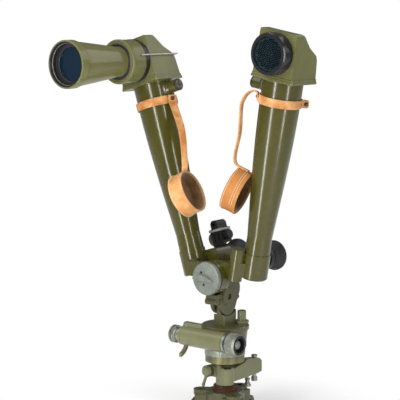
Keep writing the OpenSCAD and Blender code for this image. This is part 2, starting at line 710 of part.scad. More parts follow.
module right_band() {
    color(leather) right_arm() {
        band();
        hang(right_spread, 16, 36.2) rivet(16, 4.3);
    }
}
module right_cap_strap() { color(leather) right_arm() hang(right_spread, 16, 36.2) strap(right_drop, 16); }
module right_lens_cap() { right_arm() hang(right_spread, 16, 36.2) lens_cap([-18.9, -2, -146.5], 104.2, 26.9); }
module net_filter() {
    pitch = 3.1;
    color(black) right_arm() translate([tube_x, -head_d / 2 - 13, object_z]) rotate([90, 0, 0]) {
        linear_extrude(2) difference() {
            circle(objective_d / 2 - 1);
            for (i = [-9:9], j = [-8:8]) {
                x = pitch * (i + (abs(j) % 2) / 2);
                y = pitch * 0.866 * j;
                if (norm([x, y]) < objective_d / 2 - 3.2) translate([x, y]) rotate(30) circle(1.45, $fn = 6);
            }
        }
        translate([0, 0, -1]) ring(objective_d / 2, objective_d / 2 - 1.6, 4);
    }
}

tripod_head();
spigot_collar();
clamp_post();
bracket_arm();
bracket_screws();
azimuth_base();
scale_ring();
clamp_lever();
azimuth_plate();
worm_housing();
cradle_block();
level_case();
level_glass();
worm_shaft();
traverse_knob();
traverse_drum();
release_lever();
tilt_yoke();
pivot_pin();
hinge_bolt();
clamp_disc();
left_housing();
left_tube();
left_head();
left_prisms();
left_objective_cell();
left_objective_lens();
left_prism_box();
left_eyepiece();
left_eye_lens();
left_focus_ring();
left_eyecup();
left_adjuster();
left_band();
left_cap_strap();
left_lens_cap();
front_collar();
front_tube();
front_lens();
wire_bail();
lamp_body();
lamp_barrel();
lamp_dimmer();
lamp_switch();
right_housing();
right_tube();
right_head();
right_prisms();
right_objective_cell();
right_objective_lens();
right_prism_box();
right_eyepiece();
right_eye_lens();
right_focus_ring();
right_eyecup();
right_adjuster();
right_band();
right_cap_strap();
right_lens_cap();
net_filter();
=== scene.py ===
import math

import bmesh
import bpy
from mathutils import Matrix, Vector, noise


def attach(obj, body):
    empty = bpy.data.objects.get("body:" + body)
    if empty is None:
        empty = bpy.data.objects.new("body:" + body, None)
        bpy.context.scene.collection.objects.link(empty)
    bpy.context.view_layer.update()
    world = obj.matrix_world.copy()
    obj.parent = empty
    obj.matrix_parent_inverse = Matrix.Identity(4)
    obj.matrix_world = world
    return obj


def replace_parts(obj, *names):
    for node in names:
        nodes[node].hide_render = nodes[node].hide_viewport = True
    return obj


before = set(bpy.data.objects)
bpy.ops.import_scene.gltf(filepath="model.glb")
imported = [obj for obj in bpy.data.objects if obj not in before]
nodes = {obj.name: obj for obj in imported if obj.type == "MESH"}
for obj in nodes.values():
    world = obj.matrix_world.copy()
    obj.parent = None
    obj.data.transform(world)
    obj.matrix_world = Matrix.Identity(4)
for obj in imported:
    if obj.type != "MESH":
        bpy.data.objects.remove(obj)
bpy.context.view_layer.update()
print("frame loaded:", len(nodes), "nodes")

mm = 0.001


# places and turns

def shift(x, y, z):
    return Matrix.Translation((x, y, z))


def rotated(degrees, axis):
    return Matrix.Rotation(math.radians(degrees), 4, axis)


acrossToAlong = Matrix(((0, 0, 1, 0), (1, 0, 0, 0), (0, 1, 0, 0), (0, 0, 0, 1)))


# camera, at the height and side the instrument is seen from

viewPoint = {
    "azimuth": 39.52, "elevation": 7.855, "distance": 2.319, "target": (-0.0509, 0.0, 0.34277),
    "lens": 132.5, "sensor": 36, "clip": 0.05,
}


def directionFrom(azimuth, elevation):
    a, e = math.radians(azimuth), math.radians(elevation)
    return Vector((math.sin(a) * math.cos(e), -math.cos(a) * math.cos(e), math.sin(e)))


def placeCamera(settings):
    back = directionFrom(settings["azimuth"], settings["elevation"])
    cameraData = bpy.data.cameras.new("camera")
    cameraData.lens = settings["lens"]
    cameraData.sensor_width = settings["sensor"]
    cameraData.clip_start = settings["clip"]
    cameraObject = bpy.data.objects.new("camera", cameraData)
    cameraObject.location = Vector(settings["target"]) + back * settings["distance"]
    cameraObject.rotation_euler = (-back).to_track_quat("-Z", "Y").to_euler()
    bpy.context.scene.collection.objects.link(cameraObject)
    bpy.context.scene.camera = cameraObject
    return back


towardCamera = placeCamera(viewPoint)
bpy.context.scene.view_settings.view_transform = "Standard"
print("camera placed")


# studio: two tall strip lamps, two broad soft lamps, a pale world and a pale floor

stripLamps = {
    "left strip": {"across": -0.36, "front": 0.55, "height": 0.42, "size": (0.085, 1.3), "watts": 6.0},
    "right strip": {"across": 0.62, "front": 0.95, "height": 0.42, "size": (0.11, 1.4), "watts": 7.4},
}
broadLamps = {
    "overhead softbox": {"place": (-0.5, -0.6, 1.7), "size": (1.4, 1.4), "watts": 12.5},
    "rear softbox": {"place": (0.6, 1.6, 1.3), "size": (1.4, 1.4), "watts": 9.0},
}
studio = {
    "stripFoot": -0.03, "lampAim": (0, 0, 0.35), "worldFill": 0.45, "worldMirrored": 0.14,
    "floorColour": 0.92, "floorSize": 5.0, "floorSteps": 64, "floorDrop": 0.001, "shadowReach": 0.26,
    "fadeFrom": 0.45, "fadeTo": 1.2,
}


def addNode(tree, kind, **sockets):
    node = tree.nodes.new("ShaderNode" + kind)
    for socket, value in sockets.items():
        node.inputs[socket].default_value = value
    return node


def addAreaLamp(name, place, aim, size, watts):
    lampData = bpy.data.lights.new(name, "AREA")
    lampData.shape = "RECTANGLE"
    lampData.size, lampData.size_y = size
    lampData.energy = watts
    lamp = bpy.data.objects.new(name, lampData)
    lamp.location = place
    lamp.rotation_euler = (Vector(aim) - Vector(place)).to_track_quat("-Z", "Y").to_euler()
    bpy.context.scene.collection.objects.link(lamp)


def lightStudio():
    flatBack = Vector((towardCamera.x, towardCamera.y, 0)).normalized()
    across = Vector((-flatBack.y, flatBack.x, 0))
    for name, lamp in stripLamps.items():
        foot = Vector((studio["stripFoot"], 0, lamp["height"]))
        place = foot + across * lamp["across"] + flatBack * lamp["front"]
        addAreaLamp(name, place, foot, lamp["size"], lamp["watts"])
    for name, lamp in broadLamps.items():
        addAreaLamp(name, lamp["place"], studio["lampAim"], lamp["size"], lamp["watts"])


def paleWorld():
    world = bpy.data.worlds.new("pale room")
    bpy.context.scene.world = world
    world.use_nodes = True
    tree = world.node_tree
    join = tree.links.new
    background = tree.nodes["Background"]
    rays = addNode(tree, "LightPath")
    seen = addNode(tree, "Math")
    seen.operation = "MAXIMUM"
    join(rays.outputs["Is Camera Ray"], seen.inputs[0])
    join(rays.outputs["Is Transmission Ray"], seen.inputs[1])
    limits = {"To Min": studio["worldFill"], "To Max": studio["worldMirrored"]}
    mirrored = addNode(tree, "MapRange", **limits)
    join(rays.outputs["Is Glossy Ray"], mirrored.inputs["Value"])
    strength = addNode(tree, "MapRange", **{"To Max": 1.0})
    join(mirrored.outputs["Result"], strength.inputs["To Min"])
    join(seen.outputs[0], strength.inputs["Value"])
    join(strength.outputs["Result"], background.inputs["Strength"])
    background.inputs["Color"].default_value = (1, 1, 1, 1)


def paleFloor():
    bm = bmesh.new()
    bmesh.ops.create_circle(bm, cap_ends=True, segments=studio["floorSteps"], radius=studio["floorSize"])
    bmesh.ops.translate(bm, vec=(0, 0, -studio["floorDrop"]), verts=bm.verts)
    mesh = bpy.data.meshes.new("floor")
    bm.to_mesh(mesh)
    bm.free()
    floor = bpy.data.objects.new("floor", mesh)
    bpy.context.scene.collection.objects.link(floor)
    finish = bpy.data.materials.new("floor paper")
    finish.use_nodes = True
    tree = finish.node_tree
    join = tree.links.new
    tree.nodes.clear()
    out = addNode(tree, "OutputMaterial")
    paper = addNode(tree, "BsdfDiffuse", Color=(studio["floorColour"],) * 3 + (1,))
    glow = addNode(tree, "Emission")
    rays = addNode(tree, "LightPath")
    coords = addNode(tree, "TexCoord")
    reach = addNode(tree, "VectorMath")
    reach.operation = "LENGTH"
    near, far = (studio["shadowReach"] * studio[end] for end in ("fadeFrom", "fadeTo"))
    fade = addNode(tree, "MapRange", **{"From Min": near, "From Max": far})
    fade.interpolation_type = "SMOOTHSTEP"
    both = addNode(tree, "Math")
    both.operation = "MULTIPLY"
    mix = addNode(tree, "MixShader")
    join(coords.outputs["Object"], reach.inputs[0])
    join(reach.outputs["Value"], fade.inputs["Value"])
    join(fade.outputs["Result"], both.inputs[0])
    join(rays.outputs["Is Camera Ray"], both.inputs[1])
    join(both.outputs[0], mix.inputs["Fac"])
    join(paper.outputs["BSDF"], mix.inputs[1])
    join(glow.outputs["Emission"], mix.inputs[2])
    join(mix.outputs["Shader"], out.inputs["Surface"])
    mesh.materials.append(finish)


lightStudio()
paleWorld()
paleFloor()
print("studio lit")


# material helpers

def newFinish(name, **sockets):
    finish = bpy.data.materials.new(name)
    finish.use_nodes = True
    tree = finish.node_tree
    shader = tree.nodes["Principled BSDF"]
    for socket, value in sockets.items():
        shader.inputs[socket].default_value = value
    coords = addNode(tree, "TexCoord")
    return finish, shader, coords.outputs["Object"]


def feed(value, node, socket):
    value.id_data.links.new(value, node.inputs[socket])


def grainAt(coords, scale, detail=4.0, roughness=0.55, stretch=None):
    source = coords
    if stretch:
        mapping = addNode(coords.id_data, "Mapping", Scale=stretch)
        feed(coords, mapping, "Vector")
        source = mapping.outputs["Vector"]
    grain = addNode(coords.id_data, "TexNoise", Scale=scale, Detail=detail, Roughness=roughness)
    feed(source, grain, "Vector")
    return grain.outputs["Fac"]


def poresAt(coords, scale):
    cells = addNode(coords.id_data, "TexVoronoi", Scale=scale)
    feed(coords, cells, "Vector")
    return cells.outputs["Distance"]


def spread(value, low, high, toLow=0.0, toHigh=1.0):
    limits = {"From Min": low, "From Max": high, "To Min": toLow, "To Max": toHigh}
    ranged = addNode(value.id_data, "MapRange", **limits)
    feed(value, ranged, "Value")
    return ranged.outputs["Result"]


def blendColours(fac, first, second):
    mix = addNode(fac.id_data, "Mix")
    mix.data_type = "RGBA"
    feed(fac, mix, 0)
    for socket, colour in ((6, first), (7, second)):
        if isinstance(colour, tuple):
            mix.inputs[socket].default_value = colour + (1,)
        else:
            feed(colour, mix, socket)
    return mix.outputs[2]


def combine(kind, first, second):
    step = addNode(first.id_data, "Math")
    step.operation = kind
    step.use_clamp = True
    feed(first, step, 0)
    feed(second, step, 1)
    return step.outputs[0]


def roundedNormal(coords, radius):
    bevel = addNode(coords.id_data, "Bevel", Radius=radius)
    bevel.samples = 4
    return bevel.outputs["Normal"]


wearing = {"edge": (0.985, 0.86), "patches": (0.62, 0.72), "grain": (5.0, 0.65)}


def wornEdges(coords, rounded, patchScale, amount):
    surface = addNode(coords.id_data, "NewGeometry")
    closeness = addNode(coords.id_data, "VectorMath")
    closeness.operation = "DOT_PRODUCT"
    feed(surface.outputs["Normal"], closeness, 0)
    feed(rounded, closeness, 1)
    edge = spread(closeness.outputs["Value"], *wearing["edge"])
    low, high = (limit - amount for limit in wearing["patches"])
    patches = spread(grainAt(coords, patchScale, *wearing["grain"]), low, high)
    return combine("MULTIPLY", edge, patches)


def bumpOver(height, strength, distance, under=None):
    bump = addNode(height.id_data, "Bump", Strength=strength, Distance=distance)
    feed(height, bump, "Height")
    if under is not None:
        feed(under, bump, "Normal")
    return bump.outputs["Normal"]


# enamels and metals of the instrument

enamelKeys = ("colour", "shade", "metal", "rough", "coat", "coatRough", "texture", "wear")
enamels = {name: dict(zip(enamelKeys, row)) for name, row in {
    "glossyOlive": (
        (0.060, 0.054, 0.007), (0.049, 0.044, 0.005), (0.30, 0.29, 0.22), (0.2, 0.34),
        0.85, 0.17, 0.008, 0.02),
    "satinOlive": (
        (0.136, 0.138, 0.050), (0.110, 0.109, 0.038), (0.34, 0.34, 0.26), (0.38, 0.52),
        0.6, 0.12, 0.03, 0.04),
    "mountEnamel": (
        (0.172, 0.176, 0.092), (0.120, 0.121, 0.056), (0.42, 0.42, 0.36), (0.3, 0.46),
        0.6, 0.14, 0.18, 0.13),
    "blackEnamel": (
        (0.022, 0.022, 0.024), (0.012, 0.012, 0.013), (0.20, 0.20, 0.19), (0.3, 0.46),
        0.25, 0.2, 0.1, 0.06),
    "cellBlack": (
        (0.020, 0.020, 0.024), (0.012, 0.012, 0.015), (0.16, 0.16, 0.16), (0.3, 0.44),
        0.45, 0.14, 0.1, 0.02),
    # a darker copy of the mount enamel: painted shade for the mount's parts that sit in shadow
    "mountEnamelPaintedShade": (
        (0.088, 0.086, 0.036), (0.050, 0.048, 0.018), (0.36, 0.36, 0.30), (0.3, 0.46),
        0.6, 0.14, 0.16, 0.12),
    "netEnamel": (
        (0.016, 0.038, 0.045), (0.008, 0.020, 0.025), (0.16, 0.18, 0.20), (0.3, 0.42),
        0.3, 0.15, 0.06, 0.02),
    "platePaint": (
        (0.40, 0.41, 0.37), (0.25, 0.26, 0.23), (0.30, 0.30, 0.27), (0.35, 0.5),
        0.15, 0.25, 0.1, 0.12),
    "redEnamel": (
        (0.095, 0.028, 0.016), (0.046, 0.020, 0.012), (0.30, 0.27, 0.22), (0.4, 0.6),
        0.1, 0.3, 0.2, 0.12),
}.items()}
metalKeys = ("colour", "shade", "rough", "metallic")
metals = {name: dict(zip(metalKeys, row)) for name, row in {
    "dullPlating": ((0.38, 0.40, 0.34), (0.21, 0.23, 0.19), (0.3, 0.52), 0.85),
    "clampPlating": ((0.235, 0.26, 0.228), (0.15, 0.165, 0.14), (0.42, 0.62), 0.45),
    "greenBrass": ((0.24, 0.205, 0.085), (0.11, 0.125, 0.075), (0.3, 0.5), 0.8),
    "brightWire": ((0.60, 0.60, 0.57), (0.42, 0.42, 0.40), (0.22, 0.36), 0.9),
    "darkRivet": ((0.10, 0.085, 0.06), (0.04, 0.034, 0.026), (0.35, 0.55), 0.7),
}.items()}


middleGrain = (0.3, 0.7)
enamelGrain = {
    "specular": 0.12, "bevel": 0.0006, "clouds": (14.0, 4.0, 0.55), "chips": 160.0,
    "specks": (420.0, 3.0, 0.7), "speckRange": (0.755, 0.79), "speckWear": 0.25,
    "smears": (60.0, 6.0, 0.7), "peel": (900.0, 2.0, 0.5), "peelDepth": 0.0004,
}
metalGrain = {
    "bevel": 0.0005, "stains": (70.0, 6.0, 0.65), "stainRange": (0.36, 0.66), "scuffs": (240.0, 5.0, 0.7),
    "pits": (1400.0, 3.0, 0.6), "pitStrength": 0.12, "pitDepth": 0.0003,
}


def makeEnamel(name):
    values, grain = enamels[name], enamelGrain
    finish, shader, coords = newFinish(name, **{
        "Coat Weight": values["coat"], "Coat Roughness": values["coatRough"],
        "Specular IOR Level": grain["specular"]})
    rounded = roundedNormal(coords, grain["bevel"])
    clouds = spread(grainAt(coords, *grain["clouds"]), *middleGrain)
    paint = blendColours(clouds, values["shade"], values["colour"])
    worn = wornEdges(coords, rounded, grain["chips"], values["wear"])
    low, high = grain["speckRange"]
    specks = spread(grainAt(coords, *grain["specks"]), low - values["wear"] * grain["speckWear"], high)
    bare = combine("MAXIMUM", worn, specks)
    feed(blendColours(bare, paint, values["metal"]), shader, "Base Color")
    smears = grainAt(coords, *grain["smears"])
    feed(spread(smears, *middleGrain, *values["rough"]), shader, "Roughness")
    peel = grainAt(coords, *grain["peel"])
    feed(bumpOver(peel, values["texture"], grain["peelDepth"], rounded), shader, "Normal")
    return finish


def makeMetal(name):
    values, grain = metals[name], metalGrain
    finish, shader, coords = newFinish(name, **{"Metallic": values["metallic"]})
    rounded = roundedNormal(coords, grain["bevel"])
    stains = spread(grainAt(coords, *grain["stains"]), *grain["stainRange"])
    feed(blendColours(stains, values["shade"], values["colour"]), shader, "Base Color")
    scuffs = grainAt(coords, *grain["scuffs"])
    feed(spread(scuffs, *middleGrain, *values["rough"]), shader, "Roughness")
    pits = grainAt(coords, *grain["pits"])
    feed(bumpOver(pits, grain["pitStrength"], grain["pitDepth"], rounded), shader, "Normal")
    return finish


rubber = {
    "specular": 0.4, "clean": (0.012, 0.012, 0.013), "dusty": (0.035, 0.035, 0.036), "rough": (0.42, 0.68),
    "dust": (90.0, 6.0, 0.7), "dustRange": (0.4, 0.75), "pores": (1500.0, 2.0), "poreStrength": 0.15,
    "poreDepth": 0.0003,
}


def makeRubber():
    finish, shader, coords = newFinish("eyeRubber", **{"Specular IOR Level": rubber["specular"]})
    dust = spread(grainAt(coords, *rubber["dust"]), *rubber["dustRange"])
    feed(blendColours(dust, rubber["clean"], rubber["dusty"]), shader, "Base Color")
    feed(spread(dust, 0.0, 1.0, *rubber["rough"]), shader, "Roughness")
    pores = grainAt(coords, *rubber["pores"])
    feed(bumpOver(pores, rubber["poreStrength"], rubber["poreDepth"]), shader, "Normal")
    return finish


# leather: smooth outside, suede inside, pale cut edges and waxed thread

leather = {
    "bright": (0.41, 0.146, 0.026), "tan": (0.49, 0.196, 0.042), "pale": (0.68, 0.385, 0.165),
    "deep": (0.34, 0.120, 0.030), "cut": (0.66, 0.42, 0.22), "specular": 0.35, "sheen": 0.04,
    "sheenRough": 0.5, "bevel": 0.0004, "patches": (42.0, 5.0, 0.6), "patchRange": (0.36, 0.66),
    "streaks": (30.0, 6.0, 0.7), "streakStretch": (1.0, 1.0, 5.0), "streakRange": (0.5, 0.8),
    "poreScale": 1500.0, "pitRange": (0.0, 0.28, 0.55, 0.0), "wear": (200.0, 0.3),
    "creases": (120.0, 6.0, 0.65), "rough": (0.42, 0.62), "poreBump": (0.22, 0.0004),
    "creaseBump": (0.25, 0.0012),
}
suede = {
    "dark": (0.20, 0.115, 0.048), "light": (0.33, 0.20, 0.095), "rough": 0.92, "specular": 0.15,
    "sheen": 0.3, "nap": (600.0, 6.0, 0.75), "clouds": (80.0, 5.0, 0.65), "cloudRange": (0.35, 0.7),
    "napBump": (0.6, 0.0008),
}
cutEdge = {"specular": 0.2, "fibres": (700.0, 5.0, 0.7), "rough": (0.65, 0.85), "bump": (0.4, 0.0005)}
thread = {
    "dark": (0.45, 0.28, 0.14), "light": (0.90, 0.76, 0.55), "specular": 0.3, "twist": (1800.0, 2.0, 0.5),
    "rough": (0.5, 0.7),
}


def makeLeather(name, first, second, deepness):
    finish, shader, coords = newFinish(name, **{
        "Specular IOR Level": leather["specular"], "Sheen Weight": leather["sheen"],
        "Sheen Roughness": leather["sheenRough"]})
    rounded = roundedNormal(coords, leather["bevel"])
    patches = spread(grainAt(coords, *leather["patches"]), *leather["patchRange"])
    base = blendColours(patches, leather[first], leather[second])
    long = grainAt(coords, *leather["streaks"], leather["streakStretch"])
    toned = blendColours(spread(long, *leather["streakRange"], 0.0, deepness), base, leather["deep"])
    pores = poresAt(coords, leather["poreScale"])
    spotted = blendColours(spread(pores, *leather["pitRange"]), toned, leather["deep"])
    worn = wornEdges(coords, rounded, *leather["wear"])
    feed(blendColours(worn, spotted, leather["cut"]), shader, "Base Color")
    creases = grainAt(coords, *leather["creases"])
    feed(spread(creases, *middleGrain, *leather["rough"]), shader, "Roughness")
    grained = bumpOver(pores, *leather["poreBump"], rounded)
    feed(bumpOver(creases, *leather["creaseBump"], grained), shader, "Normal")
    return finish


def makeSuede():
    finish, shader, coords = newFinish("capSuede", **{
        "Roughness": suede["rough"], "Specular IOR Level": suede["specular"],
        "Sheen Weight": suede["sheen"]})
    nap = grainAt(coords, *suede["nap"])
    clouds = spread(grainAt(coords, *suede["clouds"]), *suede["cloudRange"])
    feed(blendColours(clouds, suede["dark"], suede["light"]), shader, "Base Color")
    feed(bumpOver(nap, *suede["napBump"]), shader, "Normal")
    return finish


def makeCutEdge():
    finish, shader, coords = newFinish("cutLeather", **{"Specular IOR Level": cutEdge["specular"]})
    fibres = grainAt(coords, *cutEdge["fibres"])
    pale = spread(fibres, *middleGrain)
    feed(blendColours(pale, suede["light"], leather["cut"]), shader, "Base Color")
    feed(spread(fibres, *middleGrain, *cutEdge["rough"]), shader, "Roughness")
    feed(bumpOver(fibres, *cutEdge["bump"]), shader, "Normal")
    return finish


def makeThread():
    finish, shader, coords = newFinish("waxedThread", **{"Specular IOR Level": thread["specular"]})
    twist = grainAt(coords, *thread["twist"])
    feed(blendColours(twist, thread["dark"], thread["light"]), shader, "Base Color")
    feed(spread(twist, *middleGrain, *thread["rough"]), shader, "Roughness")
    return finish


# coated lenses, prisms, the level's vial and the fills of cut marks

# each glass: its own colour, the colour of its painted glancing reflection (rim) and the coat weight
glasses = {
    "objectiveGlass": {"colour": (0.004, 0.017, 0.030), "rim": (0.008, 0.014, 0.026), "coat": 0.6},
    "eyeGlass": {"colour": (0.012, 0.020, 0.030), "rim": (0.060, 0.035, 0.080), "coat": 1.0},
    "prismGlass": {"colour": (0.25, 0.32, 0.34), "rim": (0.35, 0.42, 0.44), "coat": 0.6},
}
lensSurface = {
    "rough": 0.04, "bends": 1.52, "coatRough": 0.02, "coatTint": (0.72, 0.82, 1.0, 1.0), "facing": 0.45,
    "haze": (45.0, 4.0, 0.6), "hazeReach": (0.6, 1.0),
}
vial = {
    "rough": 0.05, "bends": 1.45, "through": 0.35, "coat": 0.8, "clouds": (120.0, 3.0),
    "dark": (0.42, 0.52, 0.10), "light": (0.55, 0.64, 0.18),
}
fillSurface = {"rough": 0.6, "dust": (500.0, 4.0, 0.7), "dustRange": (0.3, 0.8), "fade": 0.72, "lift": 0.01}


def makeCoatedGlass(name):
    values = glasses[name]
    finish, shader, coords = newFinish(name, **{
        "Roughness": lensSurface["rough"], "IOR": lensSurface["bends"], "Coat Weight": values["coat"],
        "Coat Roughness": lensSurface["coatRough"], "Coat Tint": lensSurface["coatTint"]})
    # the colour turns towards the rim colour where the surface is seen at a glancing angle, in random
    # patches: a painted reflection of the coating
    facing = addNode(coords.id_data, "LayerWeight", Blend=lensSurface["facing"])
    haze = spread(grainAt(coords, *lensSurface["haze"]), *middleGrain, *lensSurface["hazeReach"])
    glancingReflection = combine("MULTIPLY", facing.outputs["Facing"], haze)
    feed(blendColours(glancingReflection, values["colour"], values["rim"]), shader, "Base Color")
    return finish


def makeVial():
    finish, shader, coords = newFinish("vialGlass", **{
        "Roughness": vial["rough"], "IOR": vial["bends"], "Transmission Weight": vial["through"],
        "Coat Weight": vial["coat"]})
    tint = spread(grainAt(coords, *vial["clouds"]), *middleGrain)
    feed(blendColours(tint, vial["dark"], vial["light"]), shader, "Base Color")
    return finish


def makeFill(name, colour):
    finish, shader, coords = newFinish(name, **{"Roughness": fillSurface["rough"]})
    dust = spread(grainAt(coords, *fillSurface["dust"]), *fillSurface["dustRange"])
    dull = tuple(c * fillSurface["fade"] + fillSurface["lift"] for c in colour)
    feed(blendColours(dust, colour, dull), shader, "Base Color")
    return finish


finishes = {name: makeEnamel(name) for name in enamels}
finishes.update({name: makeMetal(name) for name in metals})
finishes.update({name: makeCoatedGlass(name) for name in glasses})
finishes["eyeRubber"] = makeRubber()
finishes["rightCapLeather"] = makeLeather("rightCapLeather", "bright", "tan", 0.4)
finishes["leftCapLeather"] = makeLeather("leftCapLeather", "tan", "pale", 0.3)
finishes["strapLeather"] = makeLeather("strapLeather", "bright", "pale", 0.5)
finishes["capSuede"] = makeSuede()
finishes["cutLeather"] = makeCutEdge()
finishes["waxedThread"] = makeThread()
finishes["vialGlass"] = makeVial()
finishes["whiteFill"] = makeFill("whiteFill", (0.72, 0.72, 0.68))
finishes["blackFill"] = makeFill("blackFill", (0.02, 0.02, 0.02))
print("finishes made:", len(finishes))


# finishes on the solids of the frame

solidFinishes = {
    "glossyOlive": ["pivot_pin"],
    "satinOlive": ["front_collar", "front_tube"],
    # the tripod head, tilt yoke, cradle block and azimuth plate take the darker copy of the mount enamel as
    # painted shade
    "mountEnamelPaintedShade": ["tripod_head", "tilt_yoke", "cradle_block", "azimuth_plate"],
    "mountEnamel": ["clamp_post", "bracket_arm", "worm_housing", "level_case", "release_lever",
                    "clamp_lever", "lamp_dimmer"],
    "redEnamel": ["spigot_collar"],
    "blackEnamel": ["lamp_body", "lamp_barrel", "lamp_switch"],
    "netEnamel": ["net_filter"],
    "dullPlating": ["bracket_screws", "worm_shaft", "traverse_knob", "traverse_drum", "scale_ring",
                    "hinge_bolt"],
    "clampPlating": ["clamp_disc"],
    "greenBrass": ["azimuth_base"],
    "brightWire": ["wire_bail"],
    "objectiveGlass": ["front_lens"],
    "vialGlass": ["level_glass"],
}
pairFinishes = {
    "glossyOlive": ["tube", "housing", "adjuster", "prism_box", "eyepiece"],
    "satinOlive": ["head"], "blackEnamel": ["focus_ring"], "cellBlack": ["objective_cell"],
    "objectiveGlass": ["objective_lens"], "eyeGlass": ["eye_lens"], "prismGlass": ["prisms"],
}


def dressSolids():
    for name in finishes:
        pairs = [side + member for side in ("left_", "right_") for member in pairFinishes.get(name, [])]
        for member in solidFinishes.get(name, []) + pairs:
            mesh = nodes[member].data
            mesh.materials.clear()
            mesh.materials.append(finishes[name])


dressSolids()
print("solids dressed")


# piece helpers: shapes are drawn in millimetres and put in place in their own mesh

armSetting = {"left": 17.5, "right": 10.0, "hinge": 230.0, "tube": 55.0, "band": 290.0}
hangPlaces = {"left": (8.0, 38.2), "right": (16.0, 36.2)}
worldFrame = Matrix.Scale(mm, 4)


def armFrame(side):
    leaned = shift(0, 0, armSetting["hinge"]) @ rotated(armSetting[side], "Y")
    if side == "left":
        leaned = Matrix.Scale(-1, 4, (1, 0, 0)) @ leaned
    return worldFrame @ leaned


def bandFrame(side):
    return armFrame(side) @ shift(armSetting["tube"], 0, armSetting["band"])


def plumbFrame(side):
    turn, reach = hangPlaces[side]
    t = math.radians(turn)
    foot = shift(armSetting["tube"] - reach * math.cos(t), -reach * math.sin(t), armSetting["band"])
    return armFrame(side) @ foot @ rotated(-armSetting[side], "Y")


def finishPiece(name, bm, body, materials, place=None, angle=40.0):
    if place is not None:
        bmesh.ops.transform(bm, matrix=place, verts=bm.verts)
    bmesh.ops.recalc_face_normals(bm, faces=bm.faces)
    mesh = bpy.data.meshes.new(name)
    bm.to_mesh(mesh)
    bm.free()
    mesh.polygons.foreach_set("use_smooth", [True] * len(mesh.polygons))
    mesh.set_sharp_from_angle(angle=math.radians(angle))
    for material in materials:
        mesh.materials.append(finishes[material])
    piece = bpy.data.objects.new(name, mesh)
    bpy.context.scene.collection.objects.link(piece)
    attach(piece, body)
    return piece


def spinProfile(bm, profile, steps, material=0):
    corners = [bm.verts.new((r, 0, z)) for r, z in profile]
    edges = [bm.edges.new(pair) for pair in zip(corners, corners[1:])]
    before = set(bm.faces)
    bmesh.ops.spin(bm, geom=corners + edges, cent=(0, 0, 0), axis=(0, 0, 1), angle=2 * math.pi, steps=steps,
                   use_merge=True)
    for face in bm.faces:
        if face not in before:
            face.material_index = material


def addStitch(bm, place, length, width, material):
    made = bmesh.ops.create_uvsphere(bm, u_segments=8, v_segments=4, radius=1.0)["verts"]
    bmesh.ops.scale(bm, vec=(length / 2, width / 2, width / 2), verts=made)
    bmesh.ops.transform(bm, matrix=place, verts=made)
    for face in {f for v in made for f in v.link_faces}:
        face.material_index = material


def ringPlace(radius, height, degrees, along=90.0):
    turn = rotated(degrees, "Z")
    return turn @ shift(radius, 0, height) @ rotated(along, "Z")


def soften(bm, edges, offset, segments):
    return bmesh.ops.bevel(bm, geom=edges, offset=offset, segments=segments, profile=0.5, affect="EDGES",
                           material=-1)


# a fixed seed, so that the leather wavers in the same way each time
leatherSeed = 12
noise.seed_set(leatherSeed)


def waver(bm, amount, scale, seed):
    for vert in bm.verts:
        push = noise.noise_vector(vert.co * scale + Vector((seed, 2.0 * seed, 0)))
        vert.co += push * amount


# leather lens caps: a rounded cup with a sewn closed end, a creased mouth and a suede lining

capShape = {
    "radius": 34.5, "depth": 25.0, "wall": 2.6, "edge": 1.3, "groove": 0.35, "steps": 96,
    "waver": (0.35, 0.045), "squeeze": 0.012, "slant": 14,
    "stitchPitch": 3.6, "stitch": (2.6, 1.3), "paleRim": 3.4,
}
capPlaces = {
    "left": {"mouth": (-64.6, -25.2, -139.6), "tip": 63.5, "turn": 164.9, "seed": 3.0,
             "rows": [(-22.4, 0, 360)]},
    "right": {"mouth": (-21.6, -4.2, -150.0), "tip": 113.5, "turn": 21.0, "seed": 8.0,
              "rows": [(-22.4, 0, 360), (-9.6, 185, 305), (-6.2, 185, 305)]},
}


def capProfile():
    r, d, w, e, g = (capShape[k] for k in ("radius", "depth", "wall", "edge", "groove"))
    outside = [(0.001, -d + 0.5), (12, -d + 0.3), (24, -d + 0.05), (r - 4.6, -d), (r - 4.0, -d + 0.45),
               (r - 3.4, -d), (r - e, -d + 0.05), (r - 0.35, -d + 0.4), (r, -d + e), (r, -d + 3.4),
               (r - g, -d + 3.9), (r - 0.1, -d + 4.5), (r - 0.45, -d * 0.62), (r - 0.6, -d * 0.45),
               (r - 0.35, -6.0), (r - 0.1, -4.2), (r - g - 0.1, -3.6), (r, -3.0), (r, -1.0),
               (r - 0.4, -0.25), (r - e, 0)]
    inside = [(r - w + 0.5, -0.2), (r - w, -0.9), (r - w - 0.1, -capShape["paleRim"]),
              (r - w - 0.2, -d * 0.5), (r - w, -d + w + 2.0), (r - w - 2.0, -d + w),
              (18, -d + w), (0.001, -d + w)]
    return outside, inside


